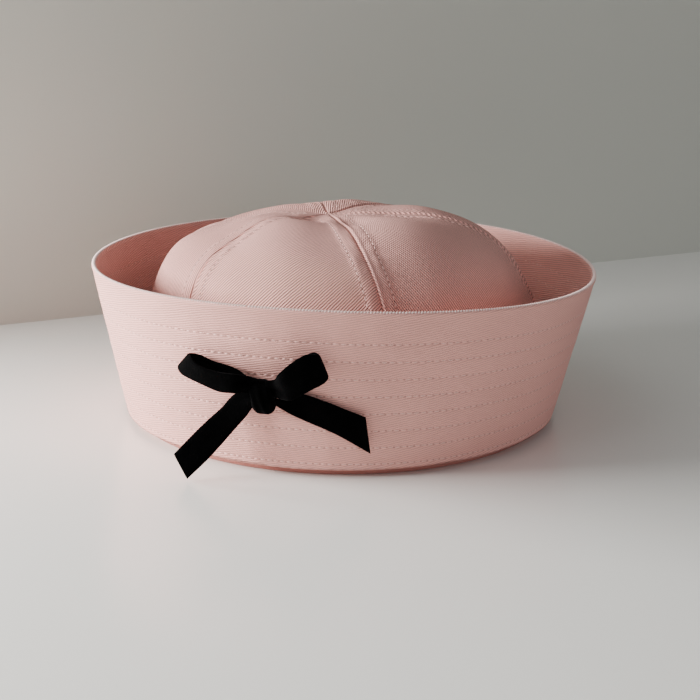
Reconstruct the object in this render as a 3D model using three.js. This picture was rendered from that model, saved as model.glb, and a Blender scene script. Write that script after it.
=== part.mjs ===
// Sailor cap: six-panel cloth crown standing inside a tall turned-up brim, with a ribbon bow at the front.
// Units are millimetres, +Z up. Azimuth 0 is the front (-Y) and grows toward +X.
import * as THREE from 'three';

// Brim
const BASE_RADIUS = 94;
const RIM_RADIUS = 108.2;
const BRIM_HEIGHT = 66.8;
const BRIM_WALL = 1.8;
const RIM_OFFSET = 1.3;
const RIM_OFFSET_AZIMUTH = 108.5;
const BRIM_COLUMNS = 90;

// Crown; its foot stands inside the brim by CROWN_INSET.
const CROWN_INSET = 3.1;
const CROWN_RADIUS = BASE_RADIUS - CROWN_INSET;
const CROWN_HEIGHT = 86.5;
const CROWN_WALL = 1.5;
const CROWN_BULGE = 3.3;
const CROWN_NARROWING = 0.068;
const CROWN_SWAY = 2.3;
const CROWN_LEAN = 6.0;
const CROWN_LEAN_AZIMUTH = -71.5;
const CROWN_SINK = 1.0;
const CROWN_SINK_RADIUS = 16;
const TIP_RADIUS = 1.1;
const PUFF_DEPTH = 2.4;
const SOFT_DEPTH = 4.0;
const SEAM_DEPTH = 1.3;
const SEAM_WIDTH = 1.4;
const PANEL_ROWS = 17;

// Ribbon bow
const BOW_REACH = 40;
const BOW_AZIMUTH = 3.1;
const BOW_HEIGHT = 36.5;
const RIBBON_WALL = 1.2;
const KNOT_HALF_WIDTH = 4.6;
const KNOT_HALF_HEIGHT = 7.4;
const KNOT_THICKNESS = 8.0;
const KNOT_SHIFT = -0.8;
const KNOT_SQUARENESS = 3.8;

// Space left between neighbouring pieces
const GAP = 0.3;

const PINK_TWILL = 0xd9b3ae;
const BLACK_VELVET = 0x141314;

// Seams around the crown; the panel named in a row lies between its seam and the next one.
const PANEL_SEAMS = [
  { name: 'crown_panel_front', azimuth: -32.5, puff: 0.92 },
  { name: 'crown_panel_front_right', azimuth: 31.5, puff: 1.0 },
  { name: 'crown_panel_back_right', azimuth: 103, puff: 0.92 },
  { name: 'crown_panel_back', azimuth: 156, puff: 0.75 },
  { name: 'crown_panel_back_left', azimuth: 210, puff: 0.75 },
  { name: 'crown_panel_front_left', azimuth: 270, puff: 0.5 },
];

// Soft swells (+) and hollows (-) in the crown: where, how wide round the crown in degrees,
// distance from the centre and its width as shares of the crown radius, height as a share of SOFT_DEPTH.
const CROWN_SWELLS = [
  { azimuth: -85, spread: 45, at: 0.52, width: 0.20, out: -0.875 },
  { azimuth: -62, spread: 30, at: 0.80, width: 0.14, out: 0.375 },
  { azimuth: -165, spread: 40, at: 0.22, width: 0.16, out: 0.375 },
  { azimuth: 100, spread: 50, at: 0.74, width: 0.20, out: 0.50 },
  { azimuth: 118, spread: 40, at: 0.48, width: 0.18, out: 0.50 },
  { azimuth: 60, spread: 24, at: 0.50, width: 0.20, out: 0.75 },
  { azimuth: -8, spread: 24, at: 0.19, width: 0.09, out: -0.80 },
  { azimuth: 44, spread: 12, at: 0.30, width: 0.10, out: -0.375 },
  { azimuth: -34, spread: 10, at: 0.64, width: 0.14, out: -0.375 },
  { azimuth: -28, spread: 34, at: 0.40, width: 0.16, out: 0.50 },
  { azimuth: -8, spread: 16, at: 0.80, width: 0.10, out: -0.25 },
];

// Columns across half a panel, from its seam to its middle: a distance as a share of SEAM_WIDTH,
// and the largest share of the panel's width that the column may take where the panel is narrow.
const PANEL_HALF = [
  { seams: 0, share: 0 },
  { seams: 0.85, share: 0.025 },
  { seams: 2, share: 0.055 },
  { seams: 4.6, share: 0.12 },
  { seams: 100, share: 0.17 },
  { seams: 100, share: 0.33 },
];

// Gentle waves of the free rim: number round the rim, azimuth of a crest, height of the crest as a share.
const RIM_RADIUS_WAVES = [
  { count: 2, azimuth: -62.3, share: 0.0095 },
  { count: 4, azimuth: 63.5, share: 0.008 },
];
const RIM_HEIGHT_WAVES = [
  { count: 1, azimuth: -55.4, share: 0.0189 },
  { count: 2, azimuth: 8.1, share: 0.0168 },
];

// Brim section, up the outside, over the rim, down the inside, along the turned-in bottom fold.
// share is of the brim height, rise and inset are shares of BRIM_WALL.
const BRIM_SECTION = [
  { share: 0, rise: 0, inset: 1.7 },
  { share: 0, rise: 0.2, inset: 0.8 },
  { share: 0, rise: 0.8, inset: 0.2 },
  { share: 0, rise: 1.8, inset: 0 },
  { share: 0.25, rise: 0, inset: 0 },
  { share: 0.5, rise: 0, inset: 0 },
  { share: 0.75, rise: 0, inset: 0 },
  { share: 1, rise: -0.3, inset: 0 },
  { share: 1, rise: 0, inset: 0.3 },
  { share: 1, rise: 0, inset: 0.7 },
  { share: 1, rise: -0.3, inset: 1 },
  { share: 0.75, rise: 0, inset: 1 },
  { share: 0.5, rise: 0, inset: 1 },
  { share: 0.25, rise: 0, inset: 1 },
  { share: 0, rise: 2.0, inset: 1 },
  { share: 0, rise: 1, inset: 1.3 },
  { share: 0, rise: 1, inset: 2.8 },
  { share: 0, rise: 0, inset: 2.8 },
];

// Ribbon pieces: the two edges of the ribbon, row by row from the knot.
// Every number is a share of BOW_REACH: across toward +X, up the brim, out from the brim.
const RIBBONS = [
  {
    name: 'bow_loop_left', stations: 22,
    rows: [
      { low: [-0.148, 0.000, 0.135], high: [-0.148, 0.180, 0.145] },
      { low: [-0.251, 0.033, 0.225], high: [-0.205, 0.232, 0.235] },
      { low: [-0.371, 0.035, 0.233], high: [-0.378, 0.242, 0.243] },
      { low: [-0.559, 0.081, 0.220], high: [-0.562, 0.277, 0.230] },
      { low: [-0.795, 0.128, 0.175], high: [-0.655, 0.318, 0.185] },
      { low: [-0.866, 0.152, 0.112], high: [-0.715, 0.318, 0.118] },
      { low: [-0.770, 0.145, 0.064], high: [-0.640, 0.290, 0.066] },
      { low: [-0.520, 0.105, 0.056], high: [-0.520, 0.245, 0.058] },
      { low: [-0.300, 0.060, 0.056], high: [-0.300, 0.200, 0.058] },
      { low: [-0.146, 0.020, 0.070], high: [-0.146, 0.120, 0.070] },
    ],
  },
  {
    name: 'bow_loop_right', stations: 22,
    rows: [
      { low: [0.108, -0.020, 0.135], high: [0.108, 0.185, 0.145] },
      { low: [0.254, 0.008, 0.225], high: [0.180, 0.330, 0.235] },
      { low: [0.344, 0.061, 0.233], high: [0.297, 0.403, 0.243] },
      { low: [0.442, 0.122, 0.220], high: [0.411, 0.475, 0.230] },
      { low: [0.550, 0.174, 0.175], high: [0.480, 0.458, 0.185] },
      { low: [0.575, 0.195, 0.112], high: [0.495, 0.430, 0.118] },
      { low: [0.520, 0.190, 0.064], high: [0.450, 0.420, 0.066] },
      { low: [0.380, 0.130, 0.056], high: [0.330, 0.360, 0.058] },
      { low: [0.240, 0.075, 0.056], high: [0.210, 0.260, 0.058] },
      { low: [0.106, 0.025, 0.070], high: [0.106, 0.110, 0.070] },
    ],
  },
  {
    name: 'bow_tail_left', stations: 16,
    rows: [
      { low: [-0.122, -0.165, 0.090], high: [-0.147, -0.020, 0.070] },
      { low: [-0.200, -0.276, 0.110], high: [-0.302, -0.060, 0.058] },
      { low: [-0.256, -0.345, 0.154], high: [-0.439, -0.212, 0.114] },
      { low: [-0.347, -0.469, 0.244], high: [-0.534, -0.310, 0.216] },
      { low: [-0.461, -0.627, 0.369], high: [-0.629, -0.429, 0.344] },
      { low: [-0.584, -0.781, 0.516], high: [-0.721, -0.563, 0.479] },
    ],
  },
  {
    name: 'bow_tail_right', stations: 16,
    rows: [
      { low: [0.100, -0.142, 0.075], high: [0.107, -0.066, 0.072] },
      { low: [0.213, -0.226, 0.050], high: [0.290, -0.010, 0.054] },
      { low: [0.376, -0.302, 0.048], high: [0.529, -0.074, 0.055] },
      { low: [0.621, -0.412, 0.055], high: [0.732, -0.158, 0.062] },
      { low: [0.944, -0.618, 0.065], high: [0.904, -0.230, 0.072] },
    ],
  },
];

const rad = (degrees) => degrees * Math.PI / 180;

const smooth = (value, from, to) => {
  const t = Math.min(1, Math.max(0, (value - from) / (to - from)));
  return t * t * (3 - 2 * t);
};

const bell = (value) => Math.exp(-value * value);

const turnBetween = (a, b) => ((a - b + 540) % 360 + 360) % 360 - 180;

// A closed body from points and triangles, turned so that its faces look outward.
function body(name, points, triangles, colour) {
  const corner = (i) => points[i];
  let volume = 0;
  for (const [a, b, c] of triangles) {
    volume += corner(a).dot(corner(b).clone().cross(corner(c)));
  }
  const facing = volume < 0 ? triangles.map(([a, b, c]) => [a, c, b]) : triangles;
  const geometry = new THREE.BufferGeometry();
  const positions = facing.flatMap((t) => t.flatMap((i) => corner(i).toArray()));
  geometry.setAttribute('position', new THREE.Float32BufferAttribute(positions, 3));
  geometry.computeVertexNormals();
  const material = new THREE.MeshStandardMaterial({ color: colour, roughness: 0.9 });
  const mesh = new THREE.Mesh(geometry, material);
  mesh.name = name;
  return mesh;
}

// Two triangles for the quadrilateral a-b-c-d.
const quad = (a, b, c, d) => [[a, b, c], [a, c, d]];

const wave = (rows, azimuth) =>
  1 + rows.reduce((sum, row) => sum + row.share * Math.cos(row.count * rad(azimuth - row.azimuth)), 0);

const rimHeight = (azimuth) => BRIM_HEIGHT * wave(RIM_HEIGHT_WAVES, azimuth);

// Radius of the brim's outer face at a height.
function brimRadius(azimuth, z) {
  const rim = RIM_RADIUS * wave(RIM_RADIUS_WAVES, azimuth);
  return BASE_RADIUS + (rim - BASE_RADIUS) * z / rimHeight(azimuth);
}

// Point at a distance out from the brim's outer face, at a height on that face.
function brimPoint(azimuth, z, out) {
  const slope = (brimRadius(azimuth, BRIM_HEIGHT) - BASE_RADIUS) / BRIM_HEIGHT;
  const radius = brimRadius(azimuth, z) + out / Math.hypot(1, slope);
  const shift = RIM_OFFSET * z / BRIM_HEIGHT;
  return new THREE.Vector3(
    radius * Math.sin(rad(azimuth)) + shift * Math.sin(rad(RIM_OFFSET_AZIMUTH)),
    -radius * Math.cos(rad(azimuth)) - shift * Math.cos(rad(RIM_OFFSET_AZIMUTH)),
    z - out * slope / Math.hypot(1, slope),
  );
}

function makeBrim() {
  const points = [];
  const triangles = [];
  const rows = BRIM_SECTION.length;
  for (let column = 0; column < BRIM_COLUMNS; column += 1) {
    const azimuth = 360 * column / BRIM_COLUMNS;
    for (const { share, rise, inset } of BRIM_SECTION) {
      const z = share * rimHeight(azimuth) + rise * BRIM_WALL;
      const point = brimPoint(azimuth, z, 0);
      const centreX = RIM_OFFSET * z / BRIM_HEIGHT * Math.sin(rad(RIM_OFFSET_AZIMUTH));
      const centreY = -RIM_OFFSET * z / BRIM_HEIGHT * Math.cos(rad(RIM_OFFSET_AZIMUTH));
      const radius = brimRadius(azimuth, z) - inset * BRIM_WALL;
      point.x = centreX + radius * Math.sin(rad(azimuth));
      point.y = centreY - radius * Math.cos(rad(azimuth));
      points.push(point);
    }
  }
  for (let column = 0; column < BRIM_COLUMNS; column += 1) {
    const next = (column + 1) % BRIM_COLUMNS;
    for (let row = 0; row < rows; row += 1) {
      const above = (row + 1) % rows;
      triangles.push(...quad(column * rows + row, next * rows + row, next * rows + above, column * rows + above));
    }
  }
  return body('brim', points, triangles, PINK_TWILL);
}

// Crown profile from the base to the centre, evenly spaced along its length.
function crownProfile(steps) {
  const fine = [];
  for (let i = 0; i <= 2000; i += 1) {
    const angle = Math.PI / 2 * (1 - (1 - i / 2000) ** 3);
    fine.push({
      r: i === 2000 ? 0 : CROWN_RADIUS * Math.cos(angle) ** (2 / CROWN_BULGE),
      z: CROWN_HEIGHT * Math.sin(angle) ** (2 / CROWN_BULGE),
      length: 0,
    });
    if (i > 0) {
      const before = fine[i - 1];
      fine[i].length = before.length + Math.hypot(fine[i].r - before.r, fine[i].z - before.z);
    }
  }
  const bottom = BRIM_WALL + GAP;
  const total = fine[2000].length;
  const start = fine.find((p) => p.z >= bottom).length;
  const end = fine.find((p) => p.r <= TIP_RADIUS).length;
  const rows = [];
  let at = 1;
  for (let i = 0; i <= steps; i += 1) {
    const length = start + (end - start) * i / steps;
    while (at < 2000 && fine[at].length < length) {
      at += 1;
    }
    const a = fine[at - 1];
    const b = fine[at];
    const part = (length - a.length) / (b.length - a.length);
    const step = Math.hypot(b.r - a.r, b.z - a.z);
    rows.push({
      r: a.r + (b.r - a.r) * part,
      z: a.z + (b.z - a.z) * part,
      share: length / total,
      outR: (b.z - a.z) / step,
      outZ: (a.r - b.r) / step,
    });
  }
  return rows;
}

// How far the cloth stands out from the plain profile: panel puff, soft swells and the seam valley.
function crownOut(row, azimuth, across, seamDistance, puff) {
  const height = row.z / CROWN_HEIGHT;
  const arch = Math.max(0, Math.sin(Math.PI * row.share ** 1.1)) ** 1.5;
  let out = puff * PUFF_DEPTH * (Math.sin(Math.PI * across) - 0.45) * arch;
  for (const swell of CROWN_SWELLS) {
    const round = bell(turnBetween(azimuth, swell.azimuth) / swell.spread);
    const along = bell((row.r / CROWN_RADIUS - swell.at) / swell.width);
    out += swell.out * SOFT_DEPTH * round * along * smooth(height, 0.45, 0.85);
  }
  return out - SEAM_DEPTH * bell(seamDistance / SEAM_WIDTH) * smooth(row.r, 0, 6);
}

function crownPoint(row, azimuth, out, inset) {
  const height = row.z / CROWN_HEIGHT;
  const radius = row.r * (1 - CROWN_NARROWING * height) + (out - inset) * row.outR;
  const lean = CROWN_LEAN * height ** 2.5 - CROWN_SWAY * Math.sin(Math.PI * Math.min(1, height));
  return new THREE.Vector3(
    radius * Math.sin(rad(azimuth)) + lean * Math.sin(rad(CROWN_LEAN_AZIMUTH)),
    -radius * Math.cos(rad(azimuth)) - lean * Math.cos(rad(CROWN_LEAN_AZIMUTH)),
    row.z + (out - inset) * row.outZ - CROWN_SINK * bell(row.r / CROWN_SINK_RADIUS),
  );
}

function makePanel(index) {
  const { name, azimuth: from, puff } = PANEL_SEAMS[index];
  const next = PANEL_SEAMS[(index + 1) % PANEL_SEAMS.length];
  const to = next.azimuth + (next.azimuth < from ? 360 : 0);
  const rows = crownProfile(PANEL_ROWS);
  const columns = 2 * PANEL_HALF.length + 1;
  const points = [];
  const triangles = [];
  for (const inset of [0, CROWN_WALL]) {
    for (const row of rows) {
      const edge = GAP / 2 / rad(1) / row.r;
      const width = to - from - 2 * edge;
      const length = rad(1) * row.r;
      const half = PANEL_HALF.map(({ seams, share }) => Math.min(seams * SEAM_WIDTH / length / width, share));
      for (const across of [...half, 0.5, ...half.map((share) => 1 - share).reverse()]) {
        const azimuth = from + edge + across * width;
        const seamDistance = Math.min(azimuth - from, to - azimuth) * length;
        const out = crownOut(row, azimuth, across, seamDistance, puff);
        points.push(crownPoint(row, azimuth, out, inset));
      }
    }
  }
  const inner = rows.length * columns;
  const at = (row, column) => row * columns + column;
  for (let row = 0; row < rows.length - 1; row += 1) {
    for (let column = 0; column < columns - 1; column += 1) {
      const ring = [at(row, column), at(row, column + 1), at(row + 1, column + 1), at(row + 1, column)];
      triangles.push(...quad(...ring));
      triangles.push(...quad(...ring.map((i) => i + inner).reverse()));
    }
    const last = columns - 1;
    triangles.push(...quad(at(row, 0), at(row + 1, 0), at(row + 1, 0) + inner, at(row, 0) + inner));
    triangles.push(...quad(at(row + 1, last), at(row, last), at(row, last) + inner, at(row + 1, last) + inner));
  }
  const top = rows.length - 1;
  for (let column = 0; column < columns - 1; column += 1) {
    triangles.push(...quad(at(0, column + 1), at(0, column), at(0, column) + inner, at(0, column + 1) + inner));
    triangles.push(...quad(at(top, column), at(top, column + 1), at(top, column + 1) + inner, at(top, column) + inner));
  }
  return body(name, points, triangles, PINK_TWILL);
}

// Point of the bow: across and up along the brim's outer face, out from it.
function bowPoint(across, up, out) {
  const z = BOW_HEIGHT + up;
  const azimuth = BOW_AZIMUTH + across / brimRadius(BOW_AZIMUTH, z) / rad(1);
  return brimPoint(azimuth, z, out);
}

function makeRibbon({ name, stations, rows }) {
  const curveOf = (side) => new THREE.CatmullRomCurve3(
    rows.map((row) => bowPoint(...row[side].map((share) => share * BOW_REACH))), false, 'centripetal',
  );
  const low = curveOf('low');
  const high = curveOf('high');
  const points = [];
  const triangles = [];
  for (let i = 0; i <= stations; i += 1) {
    const t = i / stations;
    const a = low.getPoint(t);
    const b = high.getPoint(t);
    const along = low.getTangent(t).add(high.getTangent(t));
    const out = along.cross(b.clone().sub(a)).normalize().multiplyScalar(RIBBON_WALL / 2);
    points.push(a.clone().add(out), b.clone().add(out), b.clone().sub(out), a.clone().sub(out));
  }
  for (let i = 0; i < stations; i += 1) {
    for (let side = 0; side < 4; side += 1) {
      const next = (side + 1) % 4;
      triangles.push(...quad(4 * i + side, 4 * i + next, 4 * i + 4 + next, 4 * i + 4 + side));
    }
  }
  const end = 4 * stations;
  triangles.push(...quad(3, 2, 1, 0), ...quad(end, end + 1, end + 2, end + 3));
  return body(name, points, triangles, BLACK_VELVET);
}

function makeKnot() {
  const rings = 8;
  const sides = 16;
  const power = (value) => Math.sign(value) * Math.abs(value) ** (2 / KNOT_SQUARENESS);
  const place = (x, y, z) => bowPoint(
    KNOT_SHIFT + KNOT_HALF_WIDTH * x,
    KNOT_HALF_HEIGHT * y,
    GAP + KNOT_THICKNESS / 2 * (1 + z),
  );
  const points = [place(0, 0, -1), place(0, 0, 1)];
  const triangles = [];
  for (let ring = 1; ring < rings; ring += 1) {
    const tilt = Math.PI * ring / rings - Math.PI / 2;
    for (let side = 0; side < sides; side += 1) {
      const turn = 2 * Math.PI * side / sides;
      const flat = power(Math.cos(tilt));
      points.push(place(flat * power(Math.cos(turn)), flat * power(Math.sin(turn)), power(Math.sin(tilt))));
    }
  }
  const at = (ring, side) => 2 + (ring - 1) * sides + side % sides;
  for (let side = 0; side < sides; side += 1) {
    triangles.push([0, at(1, side + 1), at(1, side)]);
    triangles.push([1, at(rings - 1, side), at(rings - 1, side + 1)]);
    for (let ring = 1; ring < rings - 1; ring += 1) {
      triangles.push(...quad(at(ring, side), at(ring, side + 1), at(ring + 1, side + 1), at(ring + 1, side)));
    }
  }
  return body('bow_knot', points, triangles, BLACK_VELVET);
}

const cap = new THREE.Group();
cap.name = 'sailor_cap';
cap.add(makeBrim());
PANEL_SEAMS.forEach((_, index) => cap.add(makePanel(index)));
cap.add(makeKnot());
RIBBONS.forEach((ribbon) => cap.add(makeRibbon(ribbon)));

// The origin is the middle of the bottom of the whole cap.
const box = new THREE.Box3().setFromObject(cap);
const middle = box.getCenter(new THREE.Vector3());
cap.children.forEach((mesh) => mesh.geometry.translate(-middle.x, -middle.y, -box.min.z));

export default cap;
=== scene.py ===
"""Sailor cap: pink cotton twill crown and turned-up brim, stitched all round, with a black velvet ribbon bow.

The surfaces are whole-array formulas in millimetres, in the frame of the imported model.
Azimuth 0 is the front (-Y) and grows toward +X.
"""
import math

import bpy
import numpy as np
from mathutils import Matrix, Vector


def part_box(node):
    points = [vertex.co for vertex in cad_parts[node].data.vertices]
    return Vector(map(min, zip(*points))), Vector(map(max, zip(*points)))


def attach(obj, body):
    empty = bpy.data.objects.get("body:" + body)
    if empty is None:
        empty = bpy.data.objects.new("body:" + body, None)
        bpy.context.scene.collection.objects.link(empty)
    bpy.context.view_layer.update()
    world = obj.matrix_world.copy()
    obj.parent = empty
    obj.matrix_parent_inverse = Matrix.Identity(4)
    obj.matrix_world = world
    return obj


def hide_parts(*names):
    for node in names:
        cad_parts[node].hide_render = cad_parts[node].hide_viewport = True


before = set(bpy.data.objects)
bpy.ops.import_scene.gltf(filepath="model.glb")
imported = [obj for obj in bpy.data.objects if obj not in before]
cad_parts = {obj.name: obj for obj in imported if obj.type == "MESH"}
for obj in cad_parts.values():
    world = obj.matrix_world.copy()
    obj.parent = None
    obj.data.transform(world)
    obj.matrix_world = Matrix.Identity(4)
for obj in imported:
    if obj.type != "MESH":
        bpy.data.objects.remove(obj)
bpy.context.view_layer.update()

bl_info = {
    "name": "Sailor Cap",
    "version": (1, 0, 0),
    "blender": (4, 5, 0),
    "location": "View3D > Sidebar > Sailor Cap",
    "description": "Builds a stitched cloth sailor cap with a velvet ribbon bow",
    "category": "Object",
}

# Each unevenness of the cloth is a depth and a wavelength in millimetres and a seed; it sums this many waves.
WAVES = 16

# Brim
BASE_RADIUS = 94.0
RIM_RADIUS = 108.2
BRIM_HEIGHT = 66.8
BRIM_WALL = 1.8
BRIM_BACK = 180.0
RIM_SHIFT = 1.3
RIM_SHIFT_AZIMUTH = 108.5
RIM_RADIUS_WAVES = ((2, -62.3, 0.0095), (4, 63.5, 0.008))
RIM_HEIGHT_WAVES = ((1, -55.4, 0.0189), (2, 8.1, 0.0168))
FOLD_RISE = 3.2
LIP_INSET = 5.04
BRIM_GRAIN = 12.0
BRIM_UNEVEN = ((0.16, 46.0, 3), (0.035, 9.0, 5))
RIM_BEAD = 0.22
RIM_BEAD_DROP = 1.2
# Painted shade on the bottom fold: the height below which the brim's colour is painted darker and redder, and
# the share of the cloth colour that this painted shade keeps.
UNDER_SHADE_TOP = 2.9
UNDER_SHADE_DARKENING = 0.6

# Section of the fold under the brim: height and inset of the cloth, from the lip outward.
BOTTOM_FOLD = (
    (0.0, LIP_INSET), (0.0, 4.2), (0.0, 3.5), (0.4, 3.2), (1.2, 3.0), (2.1, 2.75), (2.55, 2.3),
    (2.7, 1.7), (2.75, 1.1), (2.85, 0.55), (3.05, 0.2), (3.4, 0.03),
)

# Stitch rows round the brim: height of the lowest row and the step to the next.
STITCH_FIRST = 5.4
STITCH_STEP = 7.0
STITCH_ROWS = 8
STITCH_LEVELS = tuple(STITCH_FIRST + STITCH_STEP * row for row in range(STITCH_ROWS))
STITCH_LENGTH = 0.76
ROW_SLIP = 0.37
GROOVE_DEPTH = 0.26
GROOVE_WIDTH = 0.6
GROOVE_UNEVEN = (0.05, 10.0, 20)
INNER_RELIEF = -0.6
FAR_FROM_STITCH = 3.0
THREAD_SINK = 0.28

# Width and height of one stitch's thread and the seed of its unevenness
BRIM_THREAD = (0.5, 0.36, 90)
CROWN_THREAD = (0.56, 0.30, 200)
RIM_THREAD = (0.85, 0.6, 300)

# Slanted overcast stitches along the rim
RIM_STITCH_PITCH = 1.2
RIM_STITCH_SLANT = 48.0
RIM_STITCH_LENGTH = 1.8

# Crown
CROWN_RADIUS = 90.9
CROWN_HEIGHT = 86.5
CROWN_WALL = 1.5
CROWN_BULGE = 3.3
CROWN_NARROWING = 0.068
CROWN_SWAY = 2.3
CROWN_LEAN = 6.0
CROWN_LEAN_AZIMUTH = -71.5
CROWN_SINK = 1.0
CROWN_SINK_RADIUS = 16.0
CROWN_BOTTOM = BRIM_WALL + 0.3
MERIDIAN_POINTS = 1200
PUFF_DEPTH = 2.4
SOFT_DEPTH = 4.0
CROWN_UNEVEN = (0.26, 34.0, 7)

# Crown seams: the valley, the raised allowance with its folded edge, and the topstitching beside it
SEAM_DEPTH = 0.6
SEAM_WIDTH = 0.5
ALLOWANCE_RISE = 0.45
ALLOWANCE_END = 7.4
FOLD_EDGE = 0.32
FLAT_EDGE = -0.1
TOPSTITCH = 6.0
TOPSTITCH_END = 9.0
TOPSTITCH_FOOT = 6.0
TOPSTITCH_DEPTH = 0.32
SEAM_PUCKER = (0.11, 8.0, 11)
SEAM_AZIMUTHS = (-32.5, 31.5, 103.0, 156.0, 210.0, 270.0)
SEAMS_ROUND = SEAM_AZIMUTHS + (SEAM_AZIMUTHS[0] + 360.0,)
PANEL_NAMES = (
    "crown_panel_front", "crown_panel_front_right", "crown_panel_back_right",
    "crown_panel_back", "crown_panel_back_left", "crown_panel_front_left",
)
PANEL_PUFFS = (0.92, 1.0, 0.92, 0.75, 0.75, 0.5)
PANEL_GRAINS = (47.0, -80.0, 40.0, -75.0, 45.0, -70.0)

# Soft swells: azimuth, spread in degrees, distance from the centre and width as shares of the radius, height
# as a share of SOFT_DEPTH
CROWN_SWELLS = (
    (100, 34, 0.80, 0.24, 0.55),
    (-85, 45, 0.52, 0.20, -0.875),
    (-62, 30, 0.80, 0.14, 0.375),
    (-165, 40, 0.22, 0.16, 0.375),
    (100, 50, 0.74, 0.20, 0.50),
    (118, 40, 0.48, 0.18, 0.50),
    (60, 24, 0.50, 0.20, 0.75),
    (-8, 24, 0.19, 0.09, -0.80),
    (44, 12, 0.30, 0.10, -0.375),
    (-34, 10, 0.64, 0.14, -0.375),
    (-28, 34, 0.40, 0.16, 0.50),
    (-8, 16, 0.80, 0.10, -0.25),
)

# Ribbon bow
BOW_REACH = 40.0
BOW_AZIMUTH = 3.1
BOW_HEIGHT = 36.5
RIBBON_WALL = 1.2
KNOT_HALF_WIDTH = 4.6
KNOT_HALF_HEIGHT = 6.7
KNOT_THICKNESS = 8.0
KNOT_SHIFT = -0.8
KNOT_DROP = 1.5
LOOP_POINTS = 96
TAIL_POINTS = 64
RIBBON_COLUMNS = 15

# Edges of each ribbon piece: low across, up, out, high across, up, out, as shares of BOW_REACH.
RIBBONS = {
    "bow_loop_left": (
        (-0.148, 0.0, 0.135, -0.148, 0.18, 0.145),
        (-0.251, 0.033, 0.225, -0.205, 0.232, 0.235),
        (-0.371, 0.035, 0.233, -0.378, 0.242, 0.243),
        (-0.559, 0.081, 0.22, -0.562, 0.277, 0.23),
        (-0.795, 0.128, 0.175, -0.655, 0.318, 0.185),
        (-0.866, 0.152, 0.112, -0.715, 0.318, 0.118),
        (-0.77, 0.145, 0.064, -0.64, 0.29, 0.066),
        (-0.52, 0.105, 0.056, -0.52, 0.245, 0.058),
        (-0.3, 0.06, 0.056, -0.3, 0.2, 0.058),
        (-0.146, 0.02, 0.07, -0.146, 0.12, 0.07),
    ),
    "bow_loop_right": (
        (0.108, -0.02, 0.135, 0.1, 0.165, 0.145),
        (0.254, 0.008, 0.225, 0.18, 0.285, 0.235),
        (0.344, 0.061, 0.233, 0.297, 0.403, 0.243),
        (0.442, 0.122, 0.22, 0.411, 0.475, 0.23),
        (0.55, 0.174, 0.175, 0.48, 0.458, 0.185),
        (0.575, 0.195, 0.112, 0.495, 0.43, 0.118),
        (0.52, 0.19, 0.064, 0.45, 0.42, 0.066),
        (0.38, 0.13, 0.056, 0.33, 0.36, 0.058),
        (0.24, 0.075, 0.056, 0.21, 0.26, 0.058),
        (0.106, 0.025, 0.07, 0.106, 0.11, 0.07),
    ),
    "bow_tail_left": (
        (-0.122, -0.165, 0.09, -0.147, -0.02, 0.07),
        (-0.2, -0.276, 0.11, -0.302, -0.06, 0.058),
        (-0.256, -0.345, 0.154, -0.439, -0.212, 0.114),
        (-0.347, -0.469, 0.244, -0.534, -0.31, 0.216),
        (-0.461, -0.627, 0.369, -0.629, -0.429, 0.344),
        (-0.584, -0.781, 0.516, -0.721, -0.563, 0.479),
    ),
    "bow_tail_right": (
        (0.1, -0.142, 0.075, 0.107, -0.066, 0.072),
        (0.213, -0.226, 0.05, 0.29, -0.01, 0.054),
        (0.376, -0.302, 0.048, 0.529, -0.074, 0.055),
        (0.621, -0.412, 0.055, 0.732, -0.158, 0.062),
        (0.944, -0.618, 0.065, 0.904, -0.23, 0.072),
    ),
}

# Gathers of each ribbon: depth, share of its length that they reach, and how far they return at its end
RIBBON_GATHERS = {
    "bow_loop_left": (0.55, 0.22, 1.0),
    "bow_loop_right": (0.55, 0.22, 1.0),
    "bow_tail_left": (0.45, 0.25, 0.0),
    "bow_tail_right": (0.40, 0.25, 0.0),
}

# Camera fitted to the photograph, in millimetres and degrees; the image is 700 by 700.
VIEW_AZIMUTH = 18.5
VIEW_ELEVATION = 15.58
VIEW_ROLL = 0.80
VIEW_DISTANCE = 600.0
VIEW_SIDE = 4.09
VIEW_RISE = 24.46
LENS = 69.41
SENSOR = 36.0

# Stage: colours and roughness, the wall's ends in millimetres right of and beyond the cap, the room's light
TABLE_FINISH = ((0.88, 0.87, 0.83), 0.24)
TABLE_HALF = 3000.0
TABLE_DROP = -0.05
WALL_FINISH = ((0.64, 0.64, 0.575), 0.9)
WALL_NEAR, WALL_FAR = (-330.0, 51.0), (1400.0, 971.0)
WALL_FOOT, WALL_TOP = -10.0, 2000.0
ROOM_COLOUR = (0.93, 0.96, 1.0, 1.0)
ROOM_STRENGTH = 0.24

# Lights: name, place and target in millimetres as the camera sees them, metres wide and tall, watts, colour
LIGHTS = (
    ("window", (-850, -10, 262), (0, 0, 45), 0.7, 0.26, 32.5, (1.0, 0.985, 0.965)),
    ("ceiling", (-600, -350, 1000), (-150, -60, 0), 0.8, 0.8, 2.0, (0.98, 0.985, 1.0)),
    ("room", (600, -750, 150), (60, 0, 40), 0.6, 0.3, 1.3, (0.96, 0.98, 1.0)),
)


def bell(x):
    """exp(-x squared): one soft bump of height 1 and half-width about 1."""
    return np.exp(-np.square(x))


def smooth(x, low, high):
    """0 below low, 1 above high, and a smooth cubic step between."""
    t = np.clip((x - low) / (high - low), 0.0, 1.0)
    return t * t * (3.0 - 2.0 * t)


def turn_between(a, b):
    """Signed angle in degrees from b to a, between -180 and 180."""
    return (a - b + 180.0) % 360.0 - 180.0


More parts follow.
